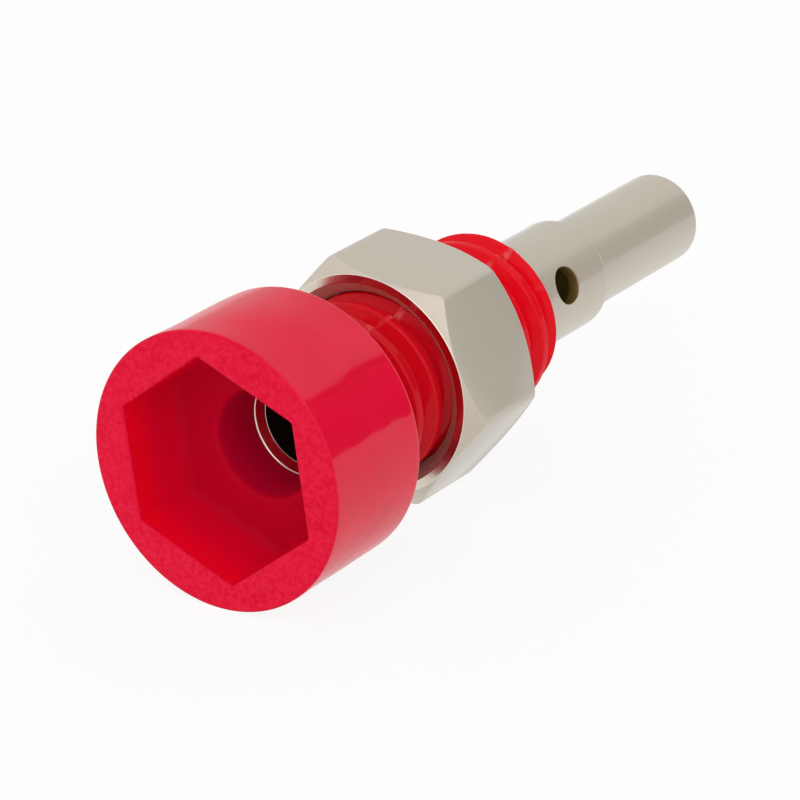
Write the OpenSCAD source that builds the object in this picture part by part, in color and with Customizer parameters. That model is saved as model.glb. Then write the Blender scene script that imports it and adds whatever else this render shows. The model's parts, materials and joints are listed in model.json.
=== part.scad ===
// Insulated 4 mm banana socket for a panel: moulded insulator, turned contact and hexagon nut.
// The axis lies along Y, with the head in front at -Y and the tail at +Y.
// The origin is the centre of the head's rear face, which seats on the panel.

/* [Head] */
// Diameter of the round head
head_d = 12.2; // [11.5:0.1:16]
// Length of the head in front of the panel
head_l = 6.15; // [5:0.05:9]
// Radius of the head's outer edges
head_edge_r = 0.12; // [0.06:0.02:0.6]

/* [Hexagonal recess] */
// Width of the recess across its flats
recess_af = 8.6; // [7:0.1:9.4]
// Depth of the recess below the front face
recess_depth = 3.5; // [2.5:0.1:4.3]
// Turn of the recess about the axis, from a corner at the top
recess_turn = -9; // [-30:1:30]

/* [Guide hole] */
// Radial room that the guide hole leaves round the plug
guide_room = 0.37; // [0.25:0.01:0.4]
// Radius of the guide hole's rounded mouth
guide_mouth_r = 0.25; // [0.1:0.05:0.8]
// Distance of the contact's front face before the panel face
contact_set_back = 0.15; // [0.05:0.05:0.8]

/* [Threaded shank] */
// Outer diameter of the shank's thread
thread_d = 8; // [7.6:0.1:8.6]
// Pitch of the thread
thread_pitch = 1.4; // [1.3:0.05:1.8]
// Depth of the thread
thread_depth = 0.6; // [0.4:0.05:0.65]
// Width of the thread's flat crest
crest_w = 0.4; // [0.1:0.05:0.45]
// Turn of the thread's start about the axis
thread_turn = 157; // [0:1:359]
// Length of the shank behind the panel face
shank_l = 14.4; // [12:0.1:20]
// Length of the plain register that centres the shank in the panel
register_l = 1.2; // [0.6:0.1:2]

/* [Contact] */
// Diameter of the plug that the contact takes
plug_d = 4; // [3.8:0.05:4.2]
// Outer diameter of the contact's barrel
barrel_d = 5.15; // [5:0.05:5.4]
// Length of the barrel behind the shank
barrel_out_l = 6.15; // [5.5:0.05:10]
// Radius of the barrel's rear edge
barrel_edge_r = 0.3; // [0.1:0.05:0.35]
// Length of the tapered lead-in at the contact's mouth
lead_in_l = 0.37; // [0.2:0.01:1]
// Radial width of the lead-in
lead_in_w = 0.2; // [0.1:0.01:0.25]

/* [Tail] */
// Diameter of the tail
tail_d = 4.3; // [4:0.05:4.5]
// Length of the tail behind the barrel
tail_l = 8.8; // [7:0.05:12]
// Radius of the tail's end edge
tail_edge_r = 0.35; // [0.1:0.05:0.45]
// Diameter of the solder cup in the tail's end
cup_d = 3.2; // [2.6:0.1:3.4]
// Depth of the solder cup
cup_depth = 6; // [4:0.1:6.5]

/* [Cross hole] */
// Diameter of the cross hole in the barrel
cross_d = 1.7; // [1:0.1:2.2]
// Distance of the cross hole's axis behind the shank
cross_at = 2.9; // [2:0.1:3.4]
// Turn of the cross hole about the axis, from the top
cross_turn = 67; // [0:1:180]

/* [Nut] */
// Width of the nut across its flats
nut_af = 10; // [9.8:0.1:13]
// Thickness of the nut
nut_h = 5.15; // [3:0.05:6.5]
// Distance of the nut behind the panel face
nut_gap = 4.8; // [0.5:0.1:7]
// Turn of the nut about the axis, from a corner at the top
nut_turn = 37; // [0:1:60]
// Radius of the corners between the nut's flats
nut_edge_r = 0.45; // [0.1:0.05:0.8]
// Radial inset of the nut's round bearing face from its flats
nut_face_inset = 0.05; // [0.05:0.05:0.3]
// Angle between the nut's chamfer and its face
nut_chamfer_angle = 40; // [20:1:50]
// Radial width of the countersink at each end of the nut's bore
nut_sink_w = 0.55; // [0.1:0.05:0.6]

/* [Fits] */
// Radial clearance of the barrel in the shank
barrel_fit = 0.01; // [0.01:0.01:0.05]
// Radial clearance of the nut over the thread's crest
nut_fit = 0.05; // [0.02:0.01:0.1]

/* [Hidden] */

insulator_red = [0.83, 0.09, 0.15];
nickel = [0.74, 0.71, 0.66];

// Facets of a full round, and of one turn of the thread
$fn = 96;
thread_steps = 32;
// Overlap that keeps cut faces clean
eps = 0.02;

// Thread form: sloped flanks, with a flat crest and root
flank_angle = 30;
thread_r = thread_d / 2;
root_r = thread_r - thread_depth;
flank_w = thread_depth * tan(flank_angle);
root_w = thread_pitch - crest_w - 2 * flank_w;
// One pitch of the thread as points of height and radius
thread_form = [
    [0, root_r],
    [root_w, root_r],
    [root_w + flank_w, thread_r],
    [root_w + flank_w + crest_w, thread_r]
];

// Stations along the axis, counted from the panel face
floor_y = recess_depth - head_l;
contact_y = -contact_set_back;
barrel_end_y = shank_l + barrel_out_l;
tail_end_y = barrel_end_y + tail_l;
cross_y = shank_l + cross_at;

// The plug bore ends just behind the cross hole, in a drill point
plug_r = plug_d / 2;
bore_past_cross = 0.4;
bore_l = cross_y + cross_d / 2 + bore_past_cross - contact_y;
drill_half_angle = 59;

guide_r = plug_r + guide_room;
barrel_hole_r = barrel_d / 2 + barrel_fit;
nut_bore_r = thread_r + nut_fit;
nut_face_r = nut_af / 2 - nut_face_inset;

// Corner radius of a hexagon from its width across flats
function corner_r(af) = af / sqrt(3);

// Lays a shape that was drawn along Z onto the Y axis, with its -Y side up
module along_y(at = 0) {
    translate([0, at, 0]) rotate([-90, 0, 0]) children();
}

// Turns a shape drawn along Z so that its +X side points up, then by the angle given
module turned(angle) {
    rotate([0, 0, angle - 90]) children();
}

// Hexagonal prism with a corner on its +X side
module hex_prism(af, l) {
    cylinder(r = corner_r(af), h = l, $fn = 6);
}

// The same prism with its long edges rounded by radius e
module soft_hex_prism(af, l, e) {
    round_at = corner_r(af - 2 * e);
    linear_extrude(l) {
        for (side = [0:60:300]) rotate(side) {
            translate([round_at, 0]) circle(r = e);
            rotate(30) translate([0, -round_at / 2]) square([af / 2, round_at]);
        }
        circle(r = round_at, $fn = 6);
    }
}

// What a round edge of radius e takes off the lower right corner of a section
module edge_cut(e) {
    difference() {
        translate([-e, -eps]) square([e + eps, e + eps]);
        translate([-e, e]) circle(r = e);
    }
}

// Blind drilling along +Z from its mouth: a bore with a drill point
module drilling(r, l) {
    translate([0, 0, -eps]) cylinder(r = r, h = l + eps);
    translate([0, 0, l]) cylinder(r1 = r, r2 = 0, h = r / tan(drill_half_angle));
}

// Largest radius that the thread has at height z, with 45 degree ends at the register and at the tip
function thread_limit(z) = root_r + max(min(z - register_l, shank_l - z), 0);

// Threaded rod along Z from z0 to z1: a right-hand helix of thread forms, cut square at both ends
module threaded_rod(z0, z1) {
    marks = len(thread_form);
    first_turn = floor(z0 / thread_pitch) - 1;
    last_turn = ceil(z1 / thread_pitch) + 1;
    last = (last_turn - first_turn) * marks;
    rows = last + 1;
    seam = thread_steps - 1;
    foot_z = first_turn * thread_pitch;
    tip_z = last_turn * thread_pitch;
    wall = [
        for (step = [0:seam], row = [0:last])
            let (
                angle = 360 * step / thread_steps,
                mark = thread_form[row % marks],
                z = foot_z + thread_pitch * (step / thread_steps + floor(row / marks)) + mark[0],
                r = min(mark[1], thread_limit(z))
            )
            [r * cos(angle), r * sin(angle), z]
    ];
    function at(step, row) = step * rows + row;
    foot = len(wall);
    tip = foot + 1;
    strips = [
        for (step = [0:seam - 1], row = [0:last - 1])
            [at(step, row), at(step, row + 1), at(step + 1, row + 1), at(step + 1, row)]
    ];
    closing = [
        for (row = [0:last - marks - 1])
            [at(seam, row), at(seam, row + 1), at(0, row + 1 + marks), at(0, row + marks)]
    ];
    foot_rim = concat(
        [for (step = [0:seam]) at(step, 0)],
        [for (row = [marks:-1:1]) at(0, row)]
    );
    tip_rim = concat(
        [for (step = [0:seam]) at(step, last)],
        [for (row = [last - 1:-1:last - marks]) at(seam, row)]
    );
    foot_fan = [
        for (i = [0:len(foot_rim) - 1])
            [foot, foot_rim[i], foot_rim[(i + 1) % len(foot_rim)]]
    ];
    tip_fan = [
        for (i = [0:len(tip_rim) - 1])
            [tip, tip_rim[(i + 1) % len(tip_rim)], tip_rim[i]]
    ];
    intersection() {
        polyhedron(
            points = concat(wall, [[0, 0, foot_z], [0, 0, tip_z + thread_pitch]]),
            faces = concat(strips, closing, foot_fan, tip_fan)
        );
        translate([0, 0, z0]) cylinder(r = thread_d, h = z1 - z0);
    }
}

// Moulded insulator: head with its hexagonal recess, guide hole and threaded shank
module insulator() {
    head_r = head_d / 2;
    color(insulator_red)
    difference() {
        union() {
            along_y(-head_l) rotate_extrude() difference() {
                square([head_r, head_l]);
                translate([head_r, 0]) edge_cut(head_edge_r);
                translate([head_r, head_l]) mirror([0, 1]) edge_cut(head_edge_r);
            }
            along_y() cylinder(r = thread_r, h = register_l);
            along_y() rotate([0, 0, thread_turn]) threaded_rod(contact_y, shank_l);
        }
        along_y(-head_l - eps) turned(recess_turn) hex_prism(recess_af, recess_depth + eps);
        along_y(floor_y) rotate_extrude() difference() {
            translate([0, -eps]) square([guide_r + guide_mouth_r, guide_mouth_r + eps]);
            translate([guide_r + guide_mouth_r, guide_mouth_r]) circle(r = guide_mouth_r);
        }
        along_y(floor_y) cylinder(r = guide_r, h = contact_y - floor_y + eps);
        along_y(contact_y) cylinder(r = barrel_hole_r, h = shank_l - contact_y + eps);
    }
}

// Turned contact: barrel with plug bore and cross hole, and a thinner tail with its solder cup
module contact() {
    barrel_r = barrel_d / 2;
    tail_r = tail_d / 2;
    barrel_l = barrel_end_y - contact_y;
    color(nickel)
    difference() {
        along_y(contact_y) rotate_extrude() {
            difference() {
                square([barrel_r, barrel_l]);
                translate([barrel_r, barrel_l]) mirror([0, 1]) edge_cut(barrel_edge_r);
            }
            difference() {
                square([tail_r, barrel_l + tail_l]);
                translate([tail_r, barrel_l + tail_l]) mirror([0, 1]) edge_cut(tail_edge_r);
            }
        }
        along_y(contact_y) {
            drilling(plug_r, bore_l);
            cylinder(r1 = plug_r + lead_in_w, r2 = plug_r, h = lead_in_l);
        }
        along_y(tail_end_y) mirror([0, 0, 1]) drilling(cup_d / 2, cup_depth);
        along_y(cross_y) turned(cross_turn) rotate([0, 90, 0]) cylinder(d = cross_d, h = barrel_d);
    }
}

// Hexagon nut: chamfered at both ends, with a countersunk bore
module hex_nut() {
    rim_r = corner_r(nut_af);
    rim_drop = (rim_r - nut_face_r) * tan(nut_chamfer_angle);
    color(nickel)
    along_y(nut_gap) difference() {
        intersection() {
            turned(nut_turn) soft_hex_prism(nut_af, nut_h, nut_edge_r);
            rotate_extrude() polygon([
                [0, 0],
                [nut_face_r, 0],
                [rim_r, rim_drop],
                [rim_r, nut_h - rim_drop],
                [nut_face_r, nut_h],
                [0, nut_h]
            ]);
        }
        translate([0, 0, -eps]) cylinder(r = nut_bore_r, h = nut_h + 2 * eps);
        for (end = [0, 1])
            translate([0, 0, end * nut_h]) mirror([0, 0, end])
                cylinder(r1 = nut_bore_r + nut_sink_w, r2 = nut_bore_r, h = nut_sink_w);
    }
}

insulator();
contact();
hex_nut();
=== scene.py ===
"""Looks of a panel banana socket: a red moulded insulator, a nickel-plated contact and a hexagon nut."""

import json
import logging
import math
from abc import ABC, abstractmethod
from dataclasses import dataclass
from enum import Enum
from typing import Any, ClassVar, Iterable, Sequence

import bmesh
import bpy
from mathutils import Matrix, Vector


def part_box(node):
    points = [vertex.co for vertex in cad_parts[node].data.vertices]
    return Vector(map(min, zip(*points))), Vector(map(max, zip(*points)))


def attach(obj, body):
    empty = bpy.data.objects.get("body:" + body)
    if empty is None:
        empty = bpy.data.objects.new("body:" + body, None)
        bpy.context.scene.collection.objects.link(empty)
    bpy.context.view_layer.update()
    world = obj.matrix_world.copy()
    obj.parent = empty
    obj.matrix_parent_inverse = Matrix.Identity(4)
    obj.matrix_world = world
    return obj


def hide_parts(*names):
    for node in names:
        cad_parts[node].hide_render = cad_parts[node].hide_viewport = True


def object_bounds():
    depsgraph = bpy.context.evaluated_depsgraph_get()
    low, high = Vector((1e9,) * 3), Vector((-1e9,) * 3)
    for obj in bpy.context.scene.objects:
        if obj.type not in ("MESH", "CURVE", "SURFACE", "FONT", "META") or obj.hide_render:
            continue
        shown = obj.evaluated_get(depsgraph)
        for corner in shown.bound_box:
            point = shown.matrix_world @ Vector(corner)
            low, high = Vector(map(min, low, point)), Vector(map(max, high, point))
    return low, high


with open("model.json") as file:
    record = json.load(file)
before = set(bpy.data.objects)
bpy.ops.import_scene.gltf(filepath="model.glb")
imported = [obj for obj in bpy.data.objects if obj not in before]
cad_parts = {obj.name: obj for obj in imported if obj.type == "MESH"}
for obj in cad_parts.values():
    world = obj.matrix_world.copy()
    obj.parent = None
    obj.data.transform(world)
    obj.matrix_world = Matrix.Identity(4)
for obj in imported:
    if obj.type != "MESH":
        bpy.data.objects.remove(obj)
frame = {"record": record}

LOG = logging.getLogger("banana_socket")
CAD_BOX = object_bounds()
MM = 0.001
MICRON = 0.000001
TURN = 2 * math.pi
HALF_TURN = math.pi
SIXTH = TURN / 6
MERGE_MM = 0.0005
CUT_MM = 0.00001
CLOUD_DETAIL = 3.0

Point = tuple[float, float]
Span = tuple[float, float]
Colour = tuple[float, float, float]

WHITE: Colour = (1.0, 1.0, 1.0)


class Body(Enum):
    """The rigid bodies that a piece can move with."""

    SOCKET = "socket"
    NUT = "nut"


class Outline(Enum):
    """The outline of a ring, seen along the axis."""

    ROUND = "round"
    HEXAGON = "hexagon"


def node_span(node: str) -> Span:
    """Stations at which a CAD node starts and ends, in millimetres."""
    low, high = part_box(node)
    return low.y / MM, high.y / MM


def node_radius(node: str) -> float:
    """Half the width of a CAD node, in millimetres."""
    low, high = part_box(node)
    return (high.x - low.x) / 2 / MM


def mount_sizes(name: str) -> dict[str, float]:
    """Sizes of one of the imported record's mounts, in millimetres."""
    return next(mount["dims"] for mount in frame["record"]["mounts"] if mount["name"] == name)


def angle_of(place: Vector) -> float:
    """Angle of a place about the axis, from the top towards +X."""
    return math.atan2(place.x, place.z)


def on_axis(radius: float, angle: float, y: float) -> Vector:
    """Place at a radius and an angle about the axis, and at a station along it."""
    return Vector((radius * math.sin(angle), y, radius * math.cos(angle)))


def past(angle: float, centre: float, spacing: float) -> float:
    """Angle past the nearest of evenly spaced centres."""
    return (angle - centre + spacing / 2) % spacing - spacing / 2


def gathered(angle: float, centre: float, spacing: float, reach: float, power: float) -> float:
    """Draws directions together round evenly spaced centres, where a shape needs more vertices.

    Args:
        angle: the direction, in radians.
        centre: one of the centres.
        spacing: angle from one centre to the next.
        reach: how far from a centre directions are moved.
        power: strength, where 1 leaves the directions as they are.

    Returns:
        The new direction.
    """
    off = past(angle, centre, spacing)
    if abs(off) >= reach:
        return angle
    return angle - off + math.copysign(reach * (abs(off) / reach) ** power, off)


@dataclass(frozen=True)
class Wave:
    """One of the waves that make a surface uneven.

    Attributes:
        share: its height, as a share of the whole.
        along: its phase for each millimetre along the axis.
        turns: its waves round the axis.
        start: its phase at the origin.
    """

    share: float
    along: float
    turns: int = 0
    start: float = 0.0

    def at(self, y: float, angle: float) -> float:
        """Height of the wave at a station and an angle about the axis."""
        return self.share * math.sin(self.turns * angle + self.along * y + self.start)


def uneven(waves: Iterable[Wave], y: float, angle: float = 0.0) -> float:
    """Sum of waves at a station and an angle about the axis, from -1 to 1."""
    return sum(wave.at(y, angle) for wave in waves)


def rounded(
    corners: Sequence[tuple[float, float, float]], steps: int = 5, hold: float = 0.04
) -> list[Point]:
    """Rounds the corners of an open outline.

    Args:
        corners: the corners as radius, station and edge radius, where an edge radius of 0 stays sharp.
        steps: pieces in each rounding.
        hold: distance of the extra point that keeps a straight stretch flat beside its rounding.

    Returns:
        The outline's points as radius and station.
    """
    points: list[Point] = []
    last = len(corners) - 1
    for i, (radius, station, edge) in enumerate(corners):
        here = Vector((radius, station))
        if edge == 0 or i in (0, last):
            points.append((here.x, here.y))
            continue
        before = (Vector(corners[i - 1][:2]) - here).normalized()
        after = (Vector(corners[i + 1][:2]) - here).normalized()
        half = before.angle(after) / 2
        reach = edge / math.tan(half)
        centre = here + (before + after).normalized() * (edge / math.sin(half))
        start = (here + before * reach - centre).normalized()
        end = (here + after * reach - centre).normalized()
        points.append(tuple(here + before * (reach + hold)))
        for k in range(steps + 1):
            points.append(tuple(centre + start.slerp(end, k / steps) * edge))
        points.append(tuple(here + after * (reach + hold)))
    return points


@dataclass(frozen=True)
class Hexagon:
    """Shape of a hexagon round the axis, with softened corners.

    Attributes:
        turn_deg: angle of one corner from the top towards +X.
        corner_r: radius of the corners, in millimetres.
    """

    turn_deg: float
    corner_r: float

    def reach(self, flat_r: float, angle: float) -> float:
        """Distance from the axis to the hexagon's side.

        Args:
            flat_r: distance from the axis to the middle of a flat.
            angle: direction about the axis, in radians.

        Returns:
            The distance in that direction.
        """
        off = abs(past(angle, math.radians(self.turn_deg), SIXTH))
        centre = (flat_r - self.corner_r) / math.cos(SIXTH / 2)
        side = self.corner_r * math.sin(SIXTH / 2)
        if off >= math.atan2(side, centre + self.corner_r * math.cos(SIXTH / 2)):
            return flat_r / math.cos(SIXTH / 2 - off)
        return centre * math.cos(off) + math.sqrt(self.corner_r**2 - (centre * math.sin(off)) ** 2)


@dataclass(frozen=True)
class Ring:
    """One ring of vertices round the axis.

    Attributes:
        radius: its radius, or the distance to a hexagon's flats.
        y: its station along the axis.
        outline: round or hexagonal.
        slope: how far it moves along the axis for each millimetre that it reaches past slope_from.
        slope_from: radius at which the slope starts.
    """

    radius: float
    y: float
    outline: Outline = Outline.ROUND
    slope: float = 0.0
    slope_from: float = 0.0

    def place(self, angle: float, hexagon: Hexagon) -> Vector:
        """Place of the ring in one direction.

        Args:
            angle: direction about the axis, in radians.
            hexagon: shape of a hexagonal ring.

        Returns:
            The place, in millimetres.
        """
        reach = self.radius
        if self.outline is Outline.HEXAGON:
            reach = hexagon.reach(self.radius, angle)
        return on_axis(reach, angle, self.y + self.slope * (reach - self.slope_from))


class Tube:
    """Faces that grow ring by ring round the axis, from a loop of edges."""

    def __init__(
        self, bm: bmesh.types.BMesh, edges: Iterable[bmesh.types.BMEdge], hexagon: Hexagon
    ) -> None:
        """Starts at a loop.

        Args:
            bm: the mesh to grow in.
            edges: the loop's edges.
            hexagon: shape of the hexagonal rings.
        """
        self.bm = bm
        self.edges = list(edges)
        self.hexagon = hexagon

    def grow(self, rings: Iterable[Ring]) -> None:
        """Extrudes the loop to each ring in turn.

        Args:
            rings: the rings, in order.
        """
        for ring in rings:
            made = bmesh.ops.extrude_edge_only(self.bm, edges=self.edges)["geom"]
            verts = {g for g in made if isinstance(g, bmesh.types.BMVert)}
            edges = [g for g in made if isinstance(g, bmesh.types.BMEdge)]
            self.edges = [edge for edge in edges if verts.issuperset(edge.verts)]
            for vert in verts:
                vert.co = ring.place(angle_of(vert.co), self.hexagon)


def rings_of(points: Iterable[Point], outline: Outline = Outline.ROUND) -> list[Ring]:
    """Makes rings from the points of an outline."""
    return [Ring(radius, y, outline) for radius, y in points]


def wire(bm: bmesh.types.BMesh, places: Sequence[Vector]) -> list[Any]:
    """Draws an open line of edges.

    Args:
        bm: the mesh to draw in.
        places: the line's points.

    Returns:
        Its vertices and edges.
    """
    verts = [bm.verts.new(p) for p in places]
    edges = [bm.edges.new(pair) for pair in zip(verts, verts[1:])]
    return [*verts, *edges]


def turned(bm: bmesh.types.BMesh, places: Sequence[Vector], axis: Vector, steps: int) -> None:
    """Turns a section once round an axis through the origin.

    Args:
        bm: the mesh to turn it in.
        places: the section's points.
        axis: direction of the axis.
        steps: number of faces round the axis.
    """
    section = wire(bm, places)
    centre = Vector((0, 0, 0))
    bmesh.ops.spin(bm, geom=section, cent=centre, axis=axis, angle=TURN, steps=steps, use_merge=True)


def finished(bm: bmesh.types.BMesh, name: str, sharp_deg: float) -> bpy.types.Object:
    """Turns a mesh drawn in millimetres into an object in metres.

    Args:
        bm: the mesh, which is used up.
        name: the piece's name.
        sharp_deg: angle above which an edge stays sharp.

    Returns:
        The piece's object.
    """
    bmesh.ops.remove_doubles(bm, verts=bm.verts, dist=MERGE_MM)
    bmesh.ops.recalc_face_normals(bm, faces=bm.faces)
    bmesh.ops.scale(bm, vec=Vector((MM, MM, MM)), verts=bm.verts)
    mesh = bpy.data.meshes.new(name)
    bm.to_mesh(mesh)
    bm.free()
    mesh.shade_smooth()
    mesh.set_sharp_from_angle(angle=math.radians(sharp_deg))
    piece = bpy.data.objects.new(name, mesh)
    bpy.context.scene.collection.objects.link(piece)
    return piece


class Signal:
    """A socket's value that takes part in arithmetic."""

    def __init__(self, graph: "Graph", socket: bpy.types.NodeSocket) -> None:
        """Wraps a node's output socket."""
        self.graph = graph
        self.socket = socket

    def math(self, operation: str, *others: Any) -> "Signal":
        """Result of a Math node on this value and others, in order."""
        values = dict(enumerate((self, *others)))
        return self.graph.add("ShaderNodeMath", {"operation": operation}, values)

    def __add__(self, other: Any) -> "Signal":
        """Sum."""
        return self.math("ADD", other)

    __radd__ = __add__

    def __mul__(self, other: Any) -> "Signal":
        """Product."""
        return self.math("MULTIPLY", other)

    __rmul__ = __mul__

    def __sub__(self, other: Any) -> "Signal":
        """Difference."""
        return self.math("SUBTRACT", other)

    def __rsub__(self, other: Any) -> "Signal":
        """Difference from a number."""
        return self.graph.add("ShaderNodeMath", {"operation": "SUBTRACT"}, {0: other, 1: self})

    def size(self) -> "Signal":
        """The value without its sign."""
        return self.math("ABSOLUTE")

    def clamped(self) -> "Signal":
        """The value kept from 0 to 1."""
        return self.graph.add("ShaderNodeClamp", {}, {"Value": self})

    def rise(self, low: float, high: float) -> "Signal":
        """Smooth rise from 0 at the low value to 1 at the high one."""
        values = {"Value": self, "From Min": low, "From Max": high}
        return self.graph.add("ShaderNodeMapRange", {"interpolation_type": "SMOOTHSTEP"}, values)


class Graph:
    """The nodes of one material or world."""

    def __init__(self, tree: bpy.types.NodeTree) -> None:
        """Starts with an empty tree."""
        self.tree = tree
        tree.nodes.clear()

    def add(self, kind: str, settings: dict[str, Any], values: dict[Any, Any], output: Any = 0) -> Signal:
        """Adds a node.

        Args:
            kind: the node's type.
            settings: properties of the node.
            values: numbers, colours or signals for its input sockets, by name or place.
            output: name or place of the output socket.

        Returns:
            The output's signal.
        """
        node = self.tree.nodes.new(kind)
        for key, setting in settings.items():
            setattr(node, key, setting)
        for key, value in values.items():
            socket = node.inputs[key]
            if isinstance(value, Signal):
                self.tree.links.new(value.socket, socket)
            else:
                socket.default_value = (*value, 1.0) if socket.type == "RGBA" else value
        outputs = node.outputs
        return Signal(self, outputs[output]) if len(outputs) else Signal(self, node.inputs[0])

    def coords(self) -> Signal:
        """Places on the piece, in metres."""
        return self.add("ShaderNodeTexCoord", {}, {}, "Object")

    def axis(self, vector: Signal, letter: str) -> Signal:
        """One part of a vector, X, Y or Z."""
        return self.add("ShaderNodeSeparateXYZ", {}, {"Vector": vector}, letter)

    def stretched(self, scale: Sequence[float]) -> Signal:
        """Places on the piece, with a factor for each axis."""
        return self.add("ShaderNodeMapping", {}, {"Vector": self.coords(), "Scale": tuple(scale)})

    def noise(self, vector: Signal, scale: float, detail: float = 2.0, roughness: float = 0.5) -> Signal:
        """Noise from 0 to 1: its waves for each unit, its finer layers and the share of those."""
        values = {"Vector": vector, "Scale": scale, "Detail": detail, "Roughness": roughness}
        return self.add("ShaderNodeTexNoise", {}, values, "Fac")

    def mixed(self, factor: Any, first: Any, second: Any) -> Signal:
        """Blend of two colours, where the factor is the share of the second."""
        values = {"Factor": factor, 6: first, 7: second}
        return self.add("ShaderNodeMix", {"data_type": "RGBA"}, values, 2)

    def radius(self, places: Signal) -> Signal:
        """Distance of places from the axis."""
        across, up = self.axis(places, "X"), self.axis(places, "Z")
        return (across * across + up * up).math("SQRT")

    def bump(self, height: Signal) -> Signal:
        """Normal of a bumpy surface, from its height in micrometres."""
        return self.add("ShaderNodeBump", {}, {"Height": height, "Distance": MICRON, "Strength": 1.0})

    def surface(self, values: dict[str, Any]) -> None:
        """Ends a material in its shader, with values or signals for the shader's sockets."""
        shader = self.add("ShaderNodeBsdfPrincipled", {}, values)
        self.add("ShaderNodeOutputMaterial", {}, {"Surface": shader})


def new_material(name: str) -> tuple[bpy.types.Material, Graph]:
    """Makes a material with an empty graph.

    Args:
        name: the material's name.

    Returns:
        The material and its graph.
    """
    material = bpy.data.materials.new(name)
    material.use_nodes = True
    return material, Graph(material.node_tree)


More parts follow.
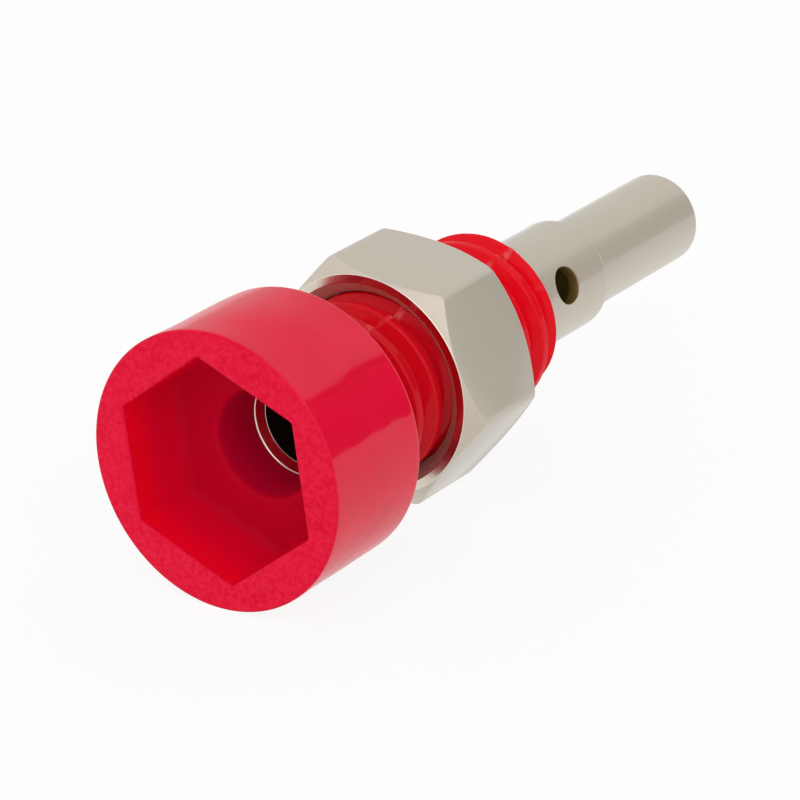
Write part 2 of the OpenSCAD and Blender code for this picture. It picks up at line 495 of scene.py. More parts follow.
@dataclass(frozen=True)
class RedPlastic:
    """Moulded red plastic: glossy outside, satin on the head's front, matt inside, pale on the parting flash.

    A span runs from where a change starts to where it ends. Lengths are in metres, depths are taken from the
    head's front, and the grain's height is in micrometres.

    Attributes:
        base: the plastic's colour.
        deep: the colour of its darker clouds.
        mottle: the colour of the light specks on the head's front.
        wall: painted light on the recess walls near the rim, lighter and purer red there.
        shade: painted shade on the recess floor, darker than the plastic.
        guide: painted shade in the guide hole, a darker, bluer red than the plastic.
        shank: the shank's colour by the head, darker as painted shade of the head and nut, purer red as
            painted light.
        shank_end: the shank's colour towards its end, past that painted shade, still purer red as painted
            light.
        pale: the colour of stretched plastic on the flash.
        front_span: depths over which the front's grain ends.
        edge_span: depths over which the front's loss of gloss ends.
        inside_span: depths over which the recess loses its gloss.
        rim_light_span: depths over which that painted light fades.
        painted_shade_span: depths over which the painted shade of the floor and the guide hole starts.
        recess_span: shares of the head's radius at which the recess ends.
        guide_fade: width of the change from the guide hole's painted shade to the floor's.
        shank_span: stations over which the shank starts.
        shank_shade_span: stations over which the shank's painted shade fades.
        flash_span: distances from the parting plane over which the flash ends.
        flash_start: stations over which the flash starts.
        cloud_scale: clouds for each metre.
        cloud_span: levels of noise over which a cloud darkens.
        grain_scale: grains for each metre.
        grain_share: share of the finer grains.
        speck_span: levels of the grain over which a speck lightens.
        patch_scale: patches of flash for each metre.
        patch_span: levels of noise over which a patch pales.
        grain_depth: height of the grain.
        front_depth: what the head's front adds to that height.
        roughness: roughness under the gloss.
        grain_roughness: what the grain adds to it.
        sheen_level: strength of the reflection under the gloss.
        gloss: weight of the moulded skin's gloss.
        gloss_roughness: roughness of the gloss.
        gloss_ior: strength of the gloss, as a refractive index.
        front_loss: share of the gloss that the head's front lacks.
        front_uneven: how far that share varies over the front.
        shank_loss: share of the gloss that the shank lacks.
    """

    base: Colour = (0.79, 0.0012, 0.036)
    deep: Colour = (0.73, 0.0008, 0.029)
    mottle: Colour = (0.84, 0.002, 0.042)
    wall: Colour = (0.88, 0.0008, 0.018)
    shade: Colour = (0.57, 0.0008, 0.025)
    guide: Colour = (0.68, 0.001, 0.05)
    shank: Colour = (0.63, 0.0004, 0.009)
    shank_end: Colour = (0.8, 0.0005, 0.011)
    pale: Colour = (0.78, 0.09, 0.10)
    front_span: Span = (0.005 * MM, 0.03 * MM)
    edge_span: Span = (0.03 * MM, 0.11 * MM)
    inside_span: Span = (0.08 * MM, 0.2 * MM)
    rim_light_span: Span = (0.4 * MM, 2.4 * MM)
    painted_shade_span: Span = (2.95 * MM, 3.45 * MM)
    recess_span: Span = (0.85, 0.9)
    guide_fade: float = 0.02 * MM
    shank_span: Span = (0.0, 0.1 * MM)
    shank_shade_span: Span = (4 * MM, 10 * MM)
    flash_span: Span = (0.06 * MM, 0.2 * MM)
    flash_start: Span = (0.5 * MM, 1.0 * MM)
    cloud_scale: float = 420.0
    cloud_span: Span = (0.4, 0.75)
    grain_scale: float = 4600.0
    grain_share: float = 0.65
    speck_span: Span = (0.36, 0.64)
    patch_scale: float = 1900.0
    patch_span: Span = (0.4, 0.66)
    grain_depth: float = 4.0
    front_depth: float = 40.0
    roughness: float = 0.45
    grain_roughness: float = 0.2
    sheen_level: float = 0.04
    gloss: float = 0.6
    gloss_roughness: float = 0.09
    gloss_ior: float = 1.5
    front_loss: float = 0.7
    front_uneven: float = 0.34
    shank_loss: float = 0.6

    def material(
        self, front_y: float, outer_r: float, guide_r: float, parting_deg: float
    ) -> bpy.types.Material:
        """Builds the material.

        Args:
            front_y: station of the head's front face, in metres.
            outer_r: radius of the head, in metres.
            guide_r: radius of the guide hole, in metres.
            parting_deg: angle of the parting line from the top towards +X.

        Returns:
            The material.
        """
        material, graph = new_material("red_plastic")
        places = graph.coords()
        station = graph.axis(places, "Y")
        depth = station - front_y
        radius = graph.radius(places)
        front = 1 - depth.rise(*self.front_span)
        edge = 1 - depth.rise(*self.edge_span)
        shank = station.rise(*self.shank_span)
        recess = (1 - radius.rise(*(share * outer_r for share in self.recess_span))) * (1 - shank)
        inside = recess * depth.rise(*self.inside_span)
        clouds = graph.noise(places, self.cloud_scale, CLOUD_DETAIL)
        grain = graph.noise(places, self.grain_scale, CLOUD_DETAIL, self.grain_share)
        specks = grain.rise(*self.speck_span)
        lit = inside * (1 - depth.rise(*self.rim_light_span))
        past_guide = radius.rise(guide_r, guide_r + self.guide_fade)
        flash = self._flash(graph, places, station, math.radians(parting_deg))
        layers = (
            (front * specks, self.mottle),
            # painted light: the recess walls lighter and purer red near the rim, fading with depth
            (lit, self.wall),
            # painted shade: the recess floor and the guide hole darker, deep in the recess
            (recess * depth.rise(*self.painted_shade_span), graph.mixed(past_guide, self.guide, self.shade)),
            # painted shade: the shank darker by the head and nut, fading towards its end; its purer red is
            # painted light
            (shank, graph.mixed(station.rise(*self.shank_shade_span), self.shank, self.shank_end)),
            (flash, self.pale),
        )
        colour = graph.mixed(clouds.rise(*self.cloud_span), self.base, self.deep)
        for share, layer in layers:
            colour = graph.mixed(share, colour, layer)
        dulled = edge * (self.front_loss + self.front_uneven * (0.5 - specks)) + shank * self.shank_loss
        values = {
            "Base Color": colour,
            "Roughness": self.roughness + grain * self.grain_roughness,
            "Normal": graph.bump(grain * (self.grain_depth + front * self.front_depth)),
            "Specular IOR Level": self.sheen_level,
            "Coat Weight": self.gloss * (1 - inside) * (1 - dulled),
            "Coat Roughness": self.gloss_roughness,
            "Coat IOR": self.gloss_ior,
        }
        graph.surface(values)
        return material

    def _flash(self, graph: Graph, places: Signal, station: Signal, parting: float) -> Signal:
        """Where the flash shows: near the parting plane, along the shank, in broken patches.

        Args:
            graph: the material's nodes.
            places: places on the piece.
            station: their station along the axis.
            parting: angle of the parting line, in radians.

        Returns:
            The share of flash.
        """
        off_plane = graph.axis(places, "X") * math.cos(parting) - graph.axis(places, "Z") * math.sin(parting)
        near = 1 - off_plane.size().rise(*self.flash_span)
        patches = graph.noise(places, self.patch_scale).rise(*self.patch_span)
        return near * patches * station.rise(*self.flash_start)


@dataclass(frozen=True, kw_only=True)
class Nickel(ABC):
    """Satin nickel plating on brass: a broad dull sheen under a weak gloss.

    Attributes:
        name: the material's name.
        lines: scale of the tool marks along each axis, for each metre.
        base: the plating's colour.
        dull: the colour of its duller clouds.
        cloud_scale: clouds for each metre.
        line_depth: depth of the tool marks, in micrometres.
        roughness: roughness of the broad sheen.
        line_roughness: what the tool marks add to it.
        polish: what it loses where the tool has polished the metal.
        gloss: weight of the gloss.
        gloss_roughness: roughness of the gloss.
        gloss_ior: strength of the gloss, as a refractive index.
    """

    name: str
    lines: tuple[float, float, float]
    base: Colour = (0.72, 0.665, 0.57)
    dull: Colour = (0.68, 0.625, 0.53)
    cloud_scale: float = 300.0
    line_depth: float = 1.2
    roughness: float = 0.62
    line_roughness: float = 0.08
    polish: float = 0.5
    gloss: float = 0.65
    gloss_roughness: float = 0.12
    gloss_ior: float = 1.6

    @abstractmethod
    def polished(self, graph: Graph, places: Signal) -> Signal:
        """Share of polish at places on the piece."""

    def toned(self, graph: Graph, places: Signal, plating: Signal) -> Signal:
        """Colour at places on the piece, from the plating's own colour."""
        return plating

    def material(self) -> bpy.types.Material:
        """Builds the material.

        Returns:
            The material.
        """
        material, graph = new_material(self.name)
        places = graph.coords()
        clouds = graph.noise(places, self.cloud_scale, CLOUD_DETAIL)
        marks = graph.noise(graph.stretched(self.lines), 1.0)
        plating = graph.mixed(clouds, self.base, self.dull)
        polish = self.polished(graph, places) * self.polish
        values = {
            "Base Color": self.toned(graph, places, plating),
            "Metallic": 1.0,
            "Roughness": self.roughness + marks * self.line_roughness - polish,
            "Normal": graph.bump(marks * self.line_depth),
            "Coat Weight": self.gloss,
            "Coat Roughness": self.gloss_roughness,
            "Coat IOR": self.gloss_ior,
        }
        graph.surface(values)
        return material


@dataclass(frozen=True, kw_only=True)
class ContactPlating(Nickel):
    """The contact's plating: tool marks round the axis, a polished mouth and a bore of bare brass.

    Lengths are in metres, and a span runs from where a change starts to where it ends.

    Attributes:
        bore_r: radius of the bore.
        mouth_y: station at which the mouth has ended.
        bare_y: station from which the brass turns clean.
        end_y: station at which the bore has ended.
        cross_r: radius of the cross hole.
        cross_y: station of the cross hole.
        cross_turn: angle of the cross hole from the top towards +X, in radians.
        tarnish: colour of the tarnished brass behind the mouth.
        brass: colour of the clean brass.
        drilled_shade: colour of the cross hole's bare brass wall, darker than clean brass as painted shade in
            the hole.
        mouth_fade: length over which the mouth's polish ends.
        bore_span: distances outside the bore over which the brass ends.
        end_fade: length over which the brass ends at the bore's end.
        clean_l: length over which the brass turns clean.
        cross_span: distances outside the cross hole over which its colour ends.
    """

    name: str = "nickel_contact"
    lines: tuple[float, float, float] = (60.0, 9000.0, 60.0)
    bore_r: float
    mouth_y: float
    bare_y: float
    end_y: float
    cross_r: float
    cross_y: float
    cross_turn: float
    tarnish: Colour = (0.07, 0.05, 0.03)
    brass: Colour = (0.55, 0.40, 0.16)
    drilled_shade: Colour = (0.31, 0.22, 0.065)
    mouth_fade: float = 0.1 * MM
    bore_span: Span = (0.002 * MM, 0.01 * MM)
    end_fade: float = 0.5 * MM
    clean_l: float = 3 * MM
    cross_span: Span = (0.01 * MM, 0.04 * MM)

    def polished(self, graph: Graph, places: Signal) -> Signal:
        """The mouth is polished."""
        return 1 - graph.axis(places, "Y").rise(self.mouth_y, self.mouth_y + self.mouth_fade)

    def toned(self, graph: Graph, places: Signal, plating: Signal) -> Signal:
        """The plating thins out to brass in the bore and in the cross hole, whose brass is darkened as
        painted shade.

        Args:
            graph: the material's nodes.
            places: places on the piece.
            plating: the plating's colour.

        Returns:
            The colour.
        """
        station = graph.axis(places, "Y")
        # painted shade: the cross hole's wall darker than clean brass
        plating = graph.mixed(self._in_cross(graph, places, station), plating, self.drilled_shade)
        within = 1 - (graph.radius(places) - self.bore_r).rise(*self.bore_span)
        bare = within * (1 - station.rise(self.end_y - self.end_fade, self.end_y))
        clean = station.rise(self.bare_y, self.bare_y + self.clean_l)
        return graph.mixed(bare, plating, graph.mixed(clean, self.tarnish, self.brass))

    def _in_cross(self, graph: Graph, places: Signal, station: Signal) -> Signal:
        """Where the cross hole's wall is.

        Args:
            graph: the material's nodes.
            places: places on the piece.
            station: their station along the axis.

        Returns:
            1 on the wall, and 0 elsewhere.
        """
        x, z = graph.axis(places, "X"), graph.axis(places, "Z")
        across = x * math.cos(self.cross_turn) - z * math.sin(self.cross_turn)
        outward = x * math.sin(self.cross_turn) + z * math.cos(self.cross_turn)
        along = station - self.cross_y
        off = (across * across + along * along).math("SQRT") - self.cross_r
        return outward.rise(0.0, self.cross_r) * (1 - off.rise(*self.cross_span))


@dataclass(frozen=True, kw_only=True)
class NutPlating(Nickel):
    """The nut's plating: draw marks along the axis and turned ends.

    Lengths are in metres.

    Attributes:
        front_y: station of the front face.
        rear_y: station of the rear face.
        polish_from: depth below a face at which its polish starts.
        polish_full: depth at which the polish is full.
    """

    name: str = "nickel_nut"
    lines: tuple[float, float, float] = (3500.0, 120.0, 3500.0)
    front_y: float
    rear_y: float
    polish_from: float = 0.03 * MM
    polish_full: float = 0.01 * MM

    def polished(self, graph: Graph, places: Signal) -> Signal:
        """The end faces are polished.

        Args:
            graph: the material's nodes.
            places: places on the piece.

        Returns:
            The share of polish.
        """
        station = graph.axis(places, "Y")
        middle = (self.front_y + self.rear_y) / 2
        half = (self.rear_y - self.front_y) / 2
        return (station - middle).size().rise(half - self.polish_from, half - self.polish_full)


class Part(ABC):
    """A piece of the socket, which stands for one CAD node.

    Attributes:
        name: the piece's name.
        node: the CAD node that it stands for.
        slot: the record's material slot.
        body: the body that it moves with.
    """

    name: ClassVar[str]
    node: ClassVar[str]
    slot: ClassVar[str]
    body: ClassVar[Body]

    @abstractmethod
    def build(self) -> bpy.types.Object:
        """Models the piece."""

    @abstractmethod
    def finish(self) -> bpy.types.Material:
        """Makes the piece's finish."""

    def place(self) -> bpy.types.Object:
        """Builds the piece, dresses it and sets it on its body.

        Returns:
            The piece's object.
        """
        piece = self.build()
        piece.data.materials.clear()
        piece.data.materials.append(self.finish())
        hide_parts(self.node)
        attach(piece, self.body.value)
        return piece


@dataclass
class Insulator(Part):
    """The red moulding: head, hexagonal recess, guide hole and threaded shank.

    Sizes are in millimetres, and angles run from the top towards +X. An edge, lip, foot or mouth is the
    radius of a rounding. The sizes whose names don't say enough:

    Attributes:
        side_waves: the waves of the head's side.
        flash_waves: the waves of the flash along the shank.
        register_r: radius of the plain register behind the head, and of the thread's crest.
        head_fall: how far the head's side falls in towards its rear.
        head_ripple: depth of the side's waves.
        seat_y: station of the lip that the contact's front sits on.
        thread_hold: distance of the points that keep the thread flat beside its roundings.
        thread_merge: distance within which one turn joins the next.
        crest_end_y: station at which a crest ends, at the top.
        flash_uneven: how far the flash varies in width, as a share.
        flash_fill: share of the thread's depth that the flash fills.
        fill_uneven: how far that share varies.
        end_fill: what it gains at the shank's end.
        flash_reach_deg: how far from the parting line directions are gathered.
        flash_gather: how strongly they are gathered.
    """

    name: ClassVar[str] = "insulator_moulding"
    node: ClassVar[str] = "insulator"
    slot: ClassVar[str] = "insulator"
    body: ClassVar[Body] = Body.SOCKET
    side_waves: ClassVar[Sequence[Wave]] = (
        Wave(0.5, 0.8, 2),
        Wave(0.35, -1.3, 5),
        Wave(0.09, 3.3, 19),
        Wave(0.06, -4.1, 31),
    )
    flash_waves: ClassVar[Sequence[Wave]] = (Wave(0.6, 4.1), Wave(0.4, 9.7, start=1.3))

    front_y: float
    shank_y: float
    head_r: float
    register_r: float
    register_l: float
    register_edge: float = 0.08
    head_edge: float = 0.12
    rear_edge: float = 0.25
    head_fall: float = 0.08
    head_fall_l: float = 3.2
    head_ripple: float = 0.06
    head_rings: int = 16
    recess_flat_r: float = 4.3
    recess_depth: float = 3.5
    recess_turn_deg: float = -9.0
    recess_corner_r: float = 0.15
    recess_lip: float = 0.1
    recess_foot: float = 0.5
    guide_r: float = 2.37
    guide_mouth: float = 0.25
    guide_steps: int = 8
    seat_y: float = -0.15
    barrel_hole_r: float = 2.585
    pitch: float = 1.4
    thread_depth: float = 0.6
    thread_edge_steps: int = 3
    thread_hold: float = 0.02
    thread_merge: float = 0.002
    crest_w: float = 0.4
    crest_edge: float = 0.12
    root_edge: float = 0.12
    flank_deg: float = 30.0
    crest_end_y: float = 4.293
    parting_deg: float = 22.5
    flash_w: float = 0.14
    flash_uneven: float = 0.4
    flash_h: float = 0.04
    flash_fill: float = 0.5
    fill_uneven: float = 0.25
    end_fill: float = 0.2
    flash_reach_deg: float = 20.0
    flash_gather: float = 1.6
    end_flash_w: float = 0.4
    end_flash_l: float = 0.7
    sharp_deg: float = 35.0
    steps: int = 240

    @classmethod
    def from_frame(cls) -> "Insulator":
        """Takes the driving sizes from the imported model.

        Returns:
            The moulding's sizes.
        """
        head_r = node_radius(cls.node)
        register = mount_sizes("panel_register")
        return cls(*node_span(cls.node), head_r, register["r_mm"], register["length_mm"])

    @property
    def root_r(self) -> float:
        """Radius of the thread's root."""
        return self.register_r - self.thread_depth

    def finish(self) -> bpy.types.Material:
        """Makes the red plastic."""
        lengths = (self.front_y * MM, self.head_r * MM, self.guide_r * MM)
        return RedPlastic().material(*lengths, self.parting_deg)

    def build(self) -> bpy.types.Object:
        """Models the moulding.

        Returns:
            The piece's object.
        """
        bm = bmesh.new()
        self._wind_thread(bm)
        hexagon = Hexagon(self.recess_turn_deg, self.recess_corner_r)
        front = Tube(bm, self._cut(bm, self.register_l, -1.0), hexagon)
        rear = Tube(bm, self._cut(bm, self.shank_y, 1.0), hexagon)
        front.grow(self._head_rings())
        rear.grow(self._bore_rings())
        bmesh.ops.bridge_loops(bm, edges=[*front.edges, *rear.edges])
        self._ripple(bm)
        return finished(bm, self.name, self.sharp_deg)

    def _wind_thread(self, bm: bmesh.types.BMesh) -> None:
        """Winds the thread's section into a right-hand helix and shapes its ends and flash.

        Args:
            bm: the mesh to wind it in.
        """
        flank = self.thread_depth * math.tan(math.radians(self.flank_deg))
        root = self.pitch - self.crest_w - 2 * flank
        start = self.crest_end_y - self.pitch + flank + root / 2
        start -= self.pitch * math.ceil((start - self.register_l) / self.pitch + 1)
        turns = math.ceil((self.shank_y - start) / self.pitch) + 1
        corners = [
            (self.root_r, 0.0, 0.0),
            (self.root_r, root / 2, self.root_edge),
            (self.register_r, root / 2 + flank, self.crest_edge),
            (self.register_r, root / 2 + flank + self.crest_w, self.crest_edge),
            (self.root_r, root / 2 + 2 * flank + self.crest_w, self.root_edge),
            (self.root_r, self.pitch, 0.0),
        ]
        first = math.radians(self.recess_turn_deg)
        lift = start + self.pitch * first / TURN
        section = rounded(corners, self.thread_edge_steps, self.thread_hold)
        bmesh.ops.spin(
            bm,
            geom=wire(bm, [on_axis(r, first, lift + y) for r, y in section]),
            cent=Vector((0, 0, 0)),
            axis=Vector((0, 1, 0)),
            dvec=Vector((0, self.pitch / self.steps, 0)),
            angle=TURN,
            steps=self.steps,
        )
        one_turn = [*bm.verts, *bm.edges, *bm.faces]
        for k in range(1, turns):
            copy = bmesh.ops.duplicate(bm, geom=one_turn)["geom"]
            verts = [g for g in copy if isinstance(g, bmesh.types.BMVert)]
            bmesh.ops.translate(bm, vec=Vector((0, k * self.pitch, 0)), verts=verts)
        bmesh.ops.remove_doubles(bm, verts=bm.verts, dist=self.thread_merge)
        for vert in bm.verts:
            self._shape(vert)

    def _shape(self, vert: bmesh.types.BMVert) -> None:
        """Chamfers the thread's ends at a vertex, and raises the flash on the parting lines.

        Args:
            vert: the vertex to move.
        """
        parting = math.radians(self.parting_deg)
        reach = math.radians(self.flash_reach_deg)
        wound = angle_of(vert.co)
        angle = gathered(wound, parting, HALF_TURN, reach, self.flash_gather)
        y = vert.co.y + self.pitch * (angle - wound) / TURN
        ends = max(0.0, min(y - self.register_l, self.shank_y - y))
        radius = min(math.hypot(vert.co.x, vert.co.z), self.root_r + ends)
        across = self.register_r * past(angle, parting, HALF_TURN)
        vert.co = on_axis(self._flashed(radius, across, y, ends), angle, y)

    def _flashed(self, radius: float, across: float, y: float, ends: float) -> float:
        """Radius of the thread with its flash.

        Args:
            radius: the thread's own radius.
            across: distance from the parting line round the shank.
            y: station along the axis.
            ends: distance from the nearer end of the thread.

        Returns:
            The radius.
        """
        near_end = max(0.0, 1 - (self.shank_y - y) / self.end_flash_l)
        width = self.flash_w * (1 + self.flash_uneven * uneven(self.flash_waves, y))
        width += self.end_flash_w * near_end
        ridge = max(0.0, 1 - ((across - self.end_flash_w * near_end) / width) ** 2)
        fill = self.flash_fill + self.fill_uneven * uneven(self.flash_waves, 2 * y)
        fill += self.end_fill * near_end
        web = self.root_r + self.thread_depth * fill * ridge
        fade = min(1.0, ends / (2 * self.flash_w))
        return radius + fade * max(self.flash_h * ridge, web - radius, 0.0)

    @staticmethod
    def _cut(bm: bmesh.types.BMesh, y: float, side: float) -> list[bmesh.types.BMEdge]:
        """Cuts the thread square.

        Args:
            bm: the mesh to cut.
            y: station of the cut.
            side: 1 to take away what lies behind the cut, and -1 for what lies before it.

        Returns:
            The edges of the cut's loop.
        """
        cut = bmesh.ops.bisect_plane(
            bm,
            geom=[*bm.verts, *bm.edges, *bm.faces],
            dist=CUT_MM,
            plane_co=Vector((0, y, 0)),
            plane_no=Vector((0, side, 0)),
            clear_outer=True,
        )
        return [g for g in cut["geom_cut"] if isinstance(g, bmesh.types.BMEdge)]

    def _head_rings(self) -> list[Ring]:
        """Rings from the thread's start over the head, into the recess and down the guide hole.

        Returns:
            The rings.
        """
        floor_y = self.front_y + self.recess_depth
        outside = rounded([
            (self.root_r, self.register_l, 0.0),
            (self.register_r, self.register_l, self.register_edge),
            (self.register_r, 0.0, self.register_edge),
            (self.head_r - self.head_fall, 0.0, self.rear_edge),
            *((self._side_r(y), y, 0.0) for y in self._side_stations()),
            (self.head_r, self.front_y, self.head_edge),
            (self.head_r - 3 * self.head_edge, self.front_y, 0.0),
        ])
        recess = rounded([
            (self.recess_flat_r + 3 * self.recess_lip, self.front_y, 0.0),
            (self.recess_flat_r, self.front_y, self.recess_lip),
            (self.recess_flat_r, floor_y, self.recess_foot),
            (self.recess_flat_r - 2 * self.recess_foot, floor_y, 0.0),
        ])
        guide = rounded([
            (self.guide_r + 1.5 * self.guide_mouth, floor_y, 0.0),
            (self.guide_r, floor_y, self.guide_mouth),
            (self.guide_r, self.seat_y, 0.0),
        ], self.guide_steps)
        return rings_of(outside[1:]) + rings_of(recess, Outline.HEXAGON) + rings_of(guide)

    def _side_stations(self) -> list[float]:
        """Stations of the rings along the head's side, from its rear to its front."""
        return [self.front_y * k / self.head_rings for k in range(1, self.head_rings)]

    def _side_r(self, y: float) -> float:
        """Radius of the head's side, which falls in towards its rear."""
        return self.head_r - self.head_fall * max(0.0, 1 + y / self.head_fall_l) ** 2

    def _ripple(self, bm: bmesh.types.BMesh) -> None:
        """Lets the head's side ripple slightly, as a moulding does when it shrinks.

        Args:
            bm: the moulding's mesh.
        """
        for vert in bm.verts:
            radius, angle, y = math.hypot(vert.co.x, vert.co.z), angle_of(vert.co), vert.co.y
            inward = min(y - self.front_y, -y) - 2 * self.head_edge
            if radius > self.head_r - 2 * self.head_fall and inward > 0:
                wave = uneven(self.side_waves, y, angle)
                dip = self.head_ripple * min(1.0, inward) * (1 + wave) / 2
                vert.co = on_axis(radius - dip, angle, y)

    def _bore_rings(self) -> list[Ring]:
        """Rings from the shank's rear end through the hole that holds the contact."""
        return rings_of((self.barrel_hole_r, y) for y in (self.shank_y, self.seat_y))


@dataclass
class Contact(Part):
    """The turned contact: barrel with plug bore and cross hole, and the tail with its solder cup.

    Sizes are in millimetres, and an edge or root is the radius of a rounding. The sizes whose names don't say
    enough:

    Attributes:
        burr_w: width of the fine burr at the lead-in's end.
        edge_hold: distance of the points that keep the contact flat beside its roundings.
        drill_half_deg: half the angle of the drill's point, at the end of the bore and the cup.
        cross_flare: how far the cross hole's rim is broken.
    """

    name: ClassVar[str] = "contact_turning"
    node: ClassVar[str] = "contact"
    slot: ClassVar[str] = "contact"
    body: ClassVar[Body] = Body.SOCKET

    front_y: float
    tail_y: float
    barrel_r: float
    plug_r: float
    bore_end_y: float
    cup_r: float
    cup_l: float
    barrel_end_y: float = 20.55
    barrel_edge: float = 0.3
    front_edge: float = 0.04
    lead_in_l: float = 0.37
    lead_in_w: float = 0.3
    mouth_edge: float = 0.13
    burr_w: float = 0.028
    burr_l: float = 0.009
    tail_r: float = 2.15
    tail_root: float = 0.05
    tail_edge: float = 0.35
    cup_edge: float = 0.06
    edge_steps: int = 5
    edge_hold: float = 0.012
    drill_half_deg: float = 59.0
    cross_r: float = 0.85
    cross_y: float = 17.3
    cross_deg: float = 67.0
    cross_flare: float = 0.1
    cross_steps: int = 96
    sharp_deg: float = 32.0
    steps: int = 192

    @classmethod
    def from_frame(cls) -> "Contact":
        """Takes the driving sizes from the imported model.

        Returns:
            The contact's sizes.
        """
        front_y, tail_y = node_span(cls.node)
        barrel_r = node_radius(cls.node)
        plug = mount_sizes("plug_bore")
        cup = mount_sizes("solder_cup")
        bore_end_y = front_y + cls.lead_in_l + plug["length_mm"]
        return cls(front_y, tail_y, barrel_r, plug["r_mm"], bore_end_y, cup["r_mm"], cup["length_mm"])

    def finish(self) -> bpy.types.Material:
        """Makes the plating.

        Returns:
            The material.
        """
        plating = ContactPlating(
            bore_r=self.plug_r * MM,
            mouth_y=(self.front_y + self.lead_in_l + self.burr_l) * MM,
            bare_y=self.bore_end_y / 2 * MM,
            end_y=self.barrel_end_y * MM,
            cross_r=self.cross_r * MM,
            cross_y=self.cross_y * MM,
            cross_turn=math.radians(self.cross_deg),
        )
        return plating.material()

    def build(self) -> bpy.types.Object:
        """Models the contact.

        Returns:
            The piece's object.
        """
        bm = bmesh.new()
        section = [Vector((0, y, r)) for r, y in self._section()]
        turned(bm, section, Vector((0, 1, 0)), self.steps)
        piece = finished(bm, self.name, self.sharp_deg)
        self._drill_cross(piece)
        return piece

    def _section(self) -> list[Point]:
        """Half section of the contact, from the plug bore's end round to the solder cup's end.

        Returns:
            Its points as radius and station.
        """
        slope = math.tan(math.radians(self.drill_half_deg))
        cup_end_y = self.tail_y - self.cup_l
        return rounded([
            (0.0, self.bore_end_y + self.plug_r / slope, 0.0),
            (self.plug_r, self.bore_end_y, 0.0),
            (self.plug_r, self.front_y + self.lead_in_l + self.burr_l, 0.0),
            (self.plug_r + self.burr_w, self.front_y + self.lead_in_l, 0.0),
            (self.plug_r + self.lead_in_w, self.front_y, self.mouth_edge),
            (self.barrel_r, self.front_y, self.front_edge),
            (self.barrel_r, self.barrel_end_y, self.barrel_edge),
            (self.tail_r, self.barrel_end_y, self.tail_root),
            (self.tail_r, self.tail_y, self.tail_edge),
            (self.cup_r, self.tail_y, self.cup_edge),
            (self.cup_r, cup_end_y, 0.0),
            (0.0, cup_end_y - self.cup_r / slope, 0.0),
        ], self.edge_steps, self.edge_hold)

    def _drill_cross(self, piece: bpy.types.Object) -> None:
        """Drills the cross hole through one wall, with a slightly broken edge.

        Args:
            piece: the contact's object.
        """
        bm = bmesh.new()
        flare_at = math.sqrt(self.barrel_r**2 - self.cross_r**2)
        drill = [
            (0.0, 0.0),
            (self.cross_r, 0.0),
            (self.cross_r, flare_at),
            (self.cross_r + self.cross_flare, flare_at + 2 * self.cross_flare),
            (self.cross_r + self.cross_flare, 2 * self.barrel_r),
            (0.0, 2 * self.barrel_r),
        ]
        turned(bm, [Vector((r, 0, z)) for r, z in drill], Vector((0, 0, 1)), self.cross_steps)
        turn = Matrix.Rotation(math.radians(self.cross_deg), 4, "Y")
        bmesh.ops.transform(bm, matrix=Matrix.Translation((0, self.cross_y, 0)) @ turn, verts=bm.verts)
        cutter = finished(bm, "cross_drill", self.sharp_deg)
        cut = piece.modifiers.new("cross_hole", "BOOLEAN")
        cut.operation = "DIFFERENCE"
        cut.solver = "EXACT"
        cut.object = cutter
        shaped = piece.evaluated_get(bpy.context.evaluated_depsgraph_get())
        mesh = bpy.data.meshes.new_from_object(shaped)
        mesh.set_sharp_from_angle(angle=math.radians(self.sharp_deg))
        piece.modifiers.clear()
        piece.data = mesh
        bpy.data.objects.remove(cutter)


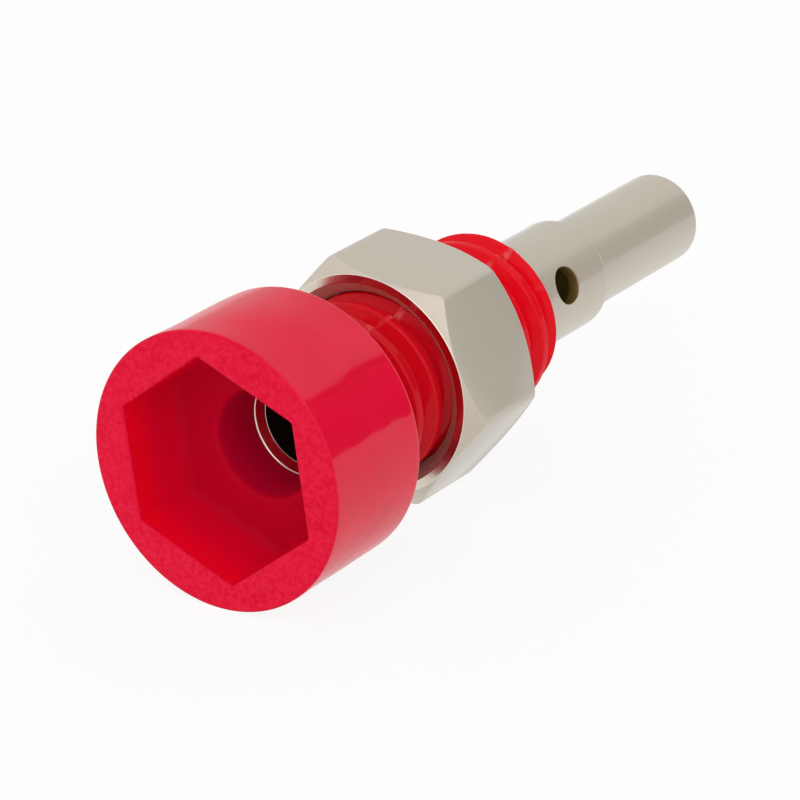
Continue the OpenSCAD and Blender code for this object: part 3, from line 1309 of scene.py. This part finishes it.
@dataclass
class HexNut(Part):
    """The hexagon nut, chamfered and countersunk at both ends.

    Sizes are in millimetres, and an edge is the radius of a rounding. The sizes whose names don't say enough:

    Attributes:
        side_profile: rounding from the chamfer to a flat, as inset and drop for each side_edge.
        corner_gather: how strongly directions are gathered round the corners.
        face_inset: distance from the flats to the round bearing face.
        sink: width and depth of the countersinks.
        edge_hold: distance of the points that keep the ends flat beside their roundings.
    """

    name: ClassVar[str] = "hex_nut_turned"
    node: ClassVar[str] = "hex_nut"
    slot: ClassVar[str] = "nut"
    body: ClassVar[Body] = Body.NUT
    side_profile: ClassVar[Sequence[Point]] = ((1.0, 0.0), (0.3, 0.4), (0.0, 1.4))

    front_y: float
    rear_y: float
    flat_r: float = 5.0
    corner_r: float = 0.45
    corner_gather: float = 1.7
    turn_deg: float = 37.0
    face_inset: float = 0.05
    chamfer_deg: float = 40.0
    bore_r: float = 4.05
    sink: float = 0.55
    sink_edge: float = 0.03
    face_edge: float = 0.01
    side_edge: float = 0.025
    edge_steps: int = 3
    edge_hold: float = 0.003
    sharp_deg: float = 32.0
    steps: int = 288

    @classmethod
    def from_frame(cls) -> "HexNut":
        """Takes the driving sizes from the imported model."""
        return cls(*node_span(cls.node))

    def finish(self) -> bpy.types.Material:
        """Makes the plating."""
        return NutPlating(front_y=self.front_y * MM, rear_y=self.rear_y * MM).material()

    def build(self) -> bpy.types.Object:
        """Models the nut.

        Returns:
            The piece's object.
        """
        bm = bmesh.new()
        circle = bmesh.ops.create_circle(bm, segments=self.steps, radius=self.bore_r)["verts"]
        first = math.radians(self.turn_deg)
        middle = (self.front_y + self.rear_y) / 2
        for i, vert in enumerate(circle):
            even = first + TURN * i / self.steps
            angle = gathered(even, first, SIXTH, SIXTH / 2, self.corner_gather)
            vert.co = on_axis(self.bore_r, angle, middle)
        tube = Tube(bm, bm.edges[:], Hexagon(self.turn_deg, self.corner_r))
        front = self._end_rings(self.front_y, 1.0)
        rear = self._end_rings(self.rear_y, -1.0)
        tube.grow([*front, *reversed(rear), Ring(self.bore_r, middle)])
        return finished(bm, self.name, self.sharp_deg)

    def _end_rings(self, y: float, inward: float) -> list[Ring]:
        """Rings of one end, from the bore over the countersink and face to the flats.

        Args:
            y: station of the end's face.
            inward: 1 if the nut lies behind the face, and -1 if it lies before it.

        Returns:
            The rings.
        """
        face_r = self.flat_r - self.face_inset
        slope = inward * math.tan(math.radians(self.chamfer_deg))
        face = rounded([
            (self.bore_r, y + inward * 2 * self.sink, 0.0),
            (self.bore_r, y + inward * self.sink, self.sink_edge),
            (self.bore_r + self.sink, y, self.sink_edge),
            (face_r, y, self.face_edge),
            (face_r + self.face_edge, y + slope * self.face_edge, 0.0),
        ], self.edge_steps, self.edge_hold)
        chamfer = []
        for inset, drop in self.side_profile:
            flat_r = self.flat_r - inset * self.side_edge
            edge_y = y + inward * drop * self.side_edge
            chamfer.append(Ring(flat_r, edge_y, Outline.HEXAGON, slope, face_r))
        return rings_of(face) + chamfer


@dataclass(frozen=True)
class Zone:
    """A round zone of the surround that is brighter or dimmer than the rest.

    Attributes:
        towards: direction of its middle.
        start: cosine of the angle from the middle at which it starts.
        full: cosine of the angle from which it is full.
        gain: what it adds to the surround's level.
    """

    towards: tuple[float, float, float]
    start: float
    full: float
    gain: float

    def share(self, graph: Graph, direction: Signal) -> Signal:
        """Share of the zone in a direction.

        Args:
            graph: the world's nodes.
            direction: the direction looked in.

        Returns:
            The share, from 0 to 1.
        """
        settings = {"operation": "DOT_PRODUCT"}
        towards = tuple(Vector(self.towards).normalized())
        cosine = graph.add("ShaderNodeVectorMath", settings, {0: direction, 1: towards}, "Value")
        return cosine.rise(self.start, self.full)


@dataclass(frozen=True)
class Studio:
    """Pale floor, soft surround and the camera.

    Lengths are in metres, and the eye, the lens and the sensor in millimetres.

    Attributes:
        eye: the camera's place.
        azimuth_deg: its turn about the vertical.
        elevation_deg: how far it looks down.
        lens: its focal length.
        sensor: its sensor's width.
        clip: the nearest and farthest distance that it sees.
        floor_half: half the floor's width.
        floor_colour: the floor's colour.
        floor_glow: share of plain white in the floor that is seen.
        plain: the surround's level outside its zones.
        key: the bright zone high in front.
        fill: the bright zone on the left.
        opening: the dim zone straight in front.
        zenith: the dim zone overhead.
        right: the dim zone on the right.
        left: the dim zone at the back left.
        gap: the dark zone low at the back right.
        gap_top: height of the gap's upper edge.
        gap_edge: width of the change at that edge.
        seam_w: height of the dark seam along that edge.
        seam: what the seam adds to the gap's level.
    """

    eye: tuple[float, float, float] = (89.0, -124.93, 67.0)
    azimuth_deg: float = 33.93
    elevation_deg: float = 23.28
    lens: float = 180.5
    sensor: float = 36.0
    clip: Span = (0.01, 10.0)
    floor_half: float = 0.9
    floor_colour: Colour = (0.9, 0.9, 0.9)
    floor_glow: float = 0.9
    plain: float = 0.97
    key: Zone = Zone((0.45, -0.62, 0.64), 0.76, 0.95, 0.8)
    fill: Zone = Zone((-0.75, -0.5, 0.35), 0.6, 0.95, 0.1)
    opening: Zone = Zone((-0.2, -1.0, -0.15), 0.6, 0.92, -0.62)
    zenith: Zone = Zone((0.1, 0.1, 1.0), 0.6, 0.95, -0.2)
    right: Zone = Zone((1.0, 0.2, -0.1), 0.2, 0.9, -0.2)
    left: Zone = Zone((-0.6, 0.76, 0.25), 0.5, 0.95, -0.25)
    gap: Zone = Zone((0.525, 0.81, 0.28), 0.93, 0.95, -0.74)
    gap_top: float = 0.505
    gap_edge: float = 0.01
    seam_w: float = 0.04
    seam: float = -0.12

    def camera(self) -> None:
        """Places the camera at the photograph's viewing angle."""
        data = bpy.data.cameras.new("camera")
        data.lens = self.lens
        data.sensor_width = self.sensor
        data.clip_start, data.clip_end = self.clip
        camera = bpy.data.objects.new("camera", data)
        turn = Matrix.Rotation(math.radians(self.azimuth_deg), 4, "Z")
        tilt = Matrix.Rotation(math.radians(90 - self.elevation_deg), 4, "X")
        camera.matrix_world = Matrix.Translation(Vector(self.eye) * MM) @ turn @ tilt
        bpy.context.scene.collection.objects.link(camera)
        bpy.context.scene.camera = camera

    def floor(self, height: float) -> None:
        """Lays the pale floor under the object.

        Args:
            height: the floor's height, in metres.
        """
        bm = bmesh.new()
        bmesh.ops.create_grid(bm, x_segments=1, y_segments=1, size=self.floor_half)
        bmesh.ops.translate(bm, vec=Vector((0, 0, height)), verts=bm.verts)
        mesh = bpy.data.meshes.new("floor")
        bm.to_mesh(mesh)
        bm.free()
        floor = bpy.data.objects.new("floor", mesh)
        bpy.context.scene.collection.objects.link(floor)
        material, graph = new_material("pale_floor")
        plain = graph.add("ShaderNodeBsdfDiffuse", {}, {"Color": self.floor_colour})
        glow = graph.add("ShaderNodeEmission", {}, {"Color": WHITE, "Strength": 1.0})
        seen = self._seen(graph) * self.floor_glow
        shader = graph.add("ShaderNodeMixShader", {}, {0: seen, 1: plain, 2: glow})
        graph.add("ShaderNodeOutputMaterial", {}, {"Surface": shader})
        mesh.materials.append(material)

    @staticmethod
    def _seen(graph: Graph) -> Signal:
        """What the camera sees, by itself or in a gloss or glass.

        Args:
            graph: the material's nodes.

        Returns:
            1 for what it sees, and 0 for the rest.
        """
        camera, glossy, through = (
            graph.add("ShaderNodeLightPath", {}, {}, f"Is {kind} Ray")
            for kind in ("Camera", "Glossy", "Transmission")
        )
        return (camera + glossy + through).clamped()

    def surround(self) -> None:
        """Sets the soft surround, with its bright and dim zones."""
        world = bpy.data.worlds.new("studio")
        bpy.context.scene.world = world
        world.use_nodes = True
        graph = Graph(world.node_tree)
        direction = graph.add("ShaderNodeTexCoord", {}, {}, "Generated")
        up = graph.axis(direction, "Z")
        seam_from = self.gap_top - self.seam_w
        seam = up.rise(seam_from - self.gap_edge, seam_from) * self.seam
        below = 1 - up.rise(self.gap_top - self.gap_edge, self.gap_top)
        level = self.plain + self.gap.share(graph, direction) * below * (self.gap.gain + seam)
        for zone in (self.key, self.fill, self.opening, self.zenith, self.right, self.left):
            level += zone.share(graph, direction) * zone.gain
        level = level.math("MAXIMUM", 0.0)
        light = graph.add("ShaderNodeBackground", {}, {"Color": WHITE, "Strength": level})
        graph.add("ShaderNodeOutputWorld", {}, {"Surface": light})


def main() -> None:
    """Builds the studio and the three pieces."""
    logging.basicConfig(level=logging.INFO)
    bpy.context.scene.view_settings.view_transform = "Standard"
    studio = Studio()
    studio.camera()
    studio.floor(CAD_BOX[0].z)
    studio.surround()
    for part in (Insulator.from_frame(), Contact.from_frame(), HexNut.from_frame()):
        piece = part.place()
        LOG.info("%s: %d faces on %s", piece.name, len(piece.data.polygons), part.body.value)


if __name__ == "__main__":
    main()
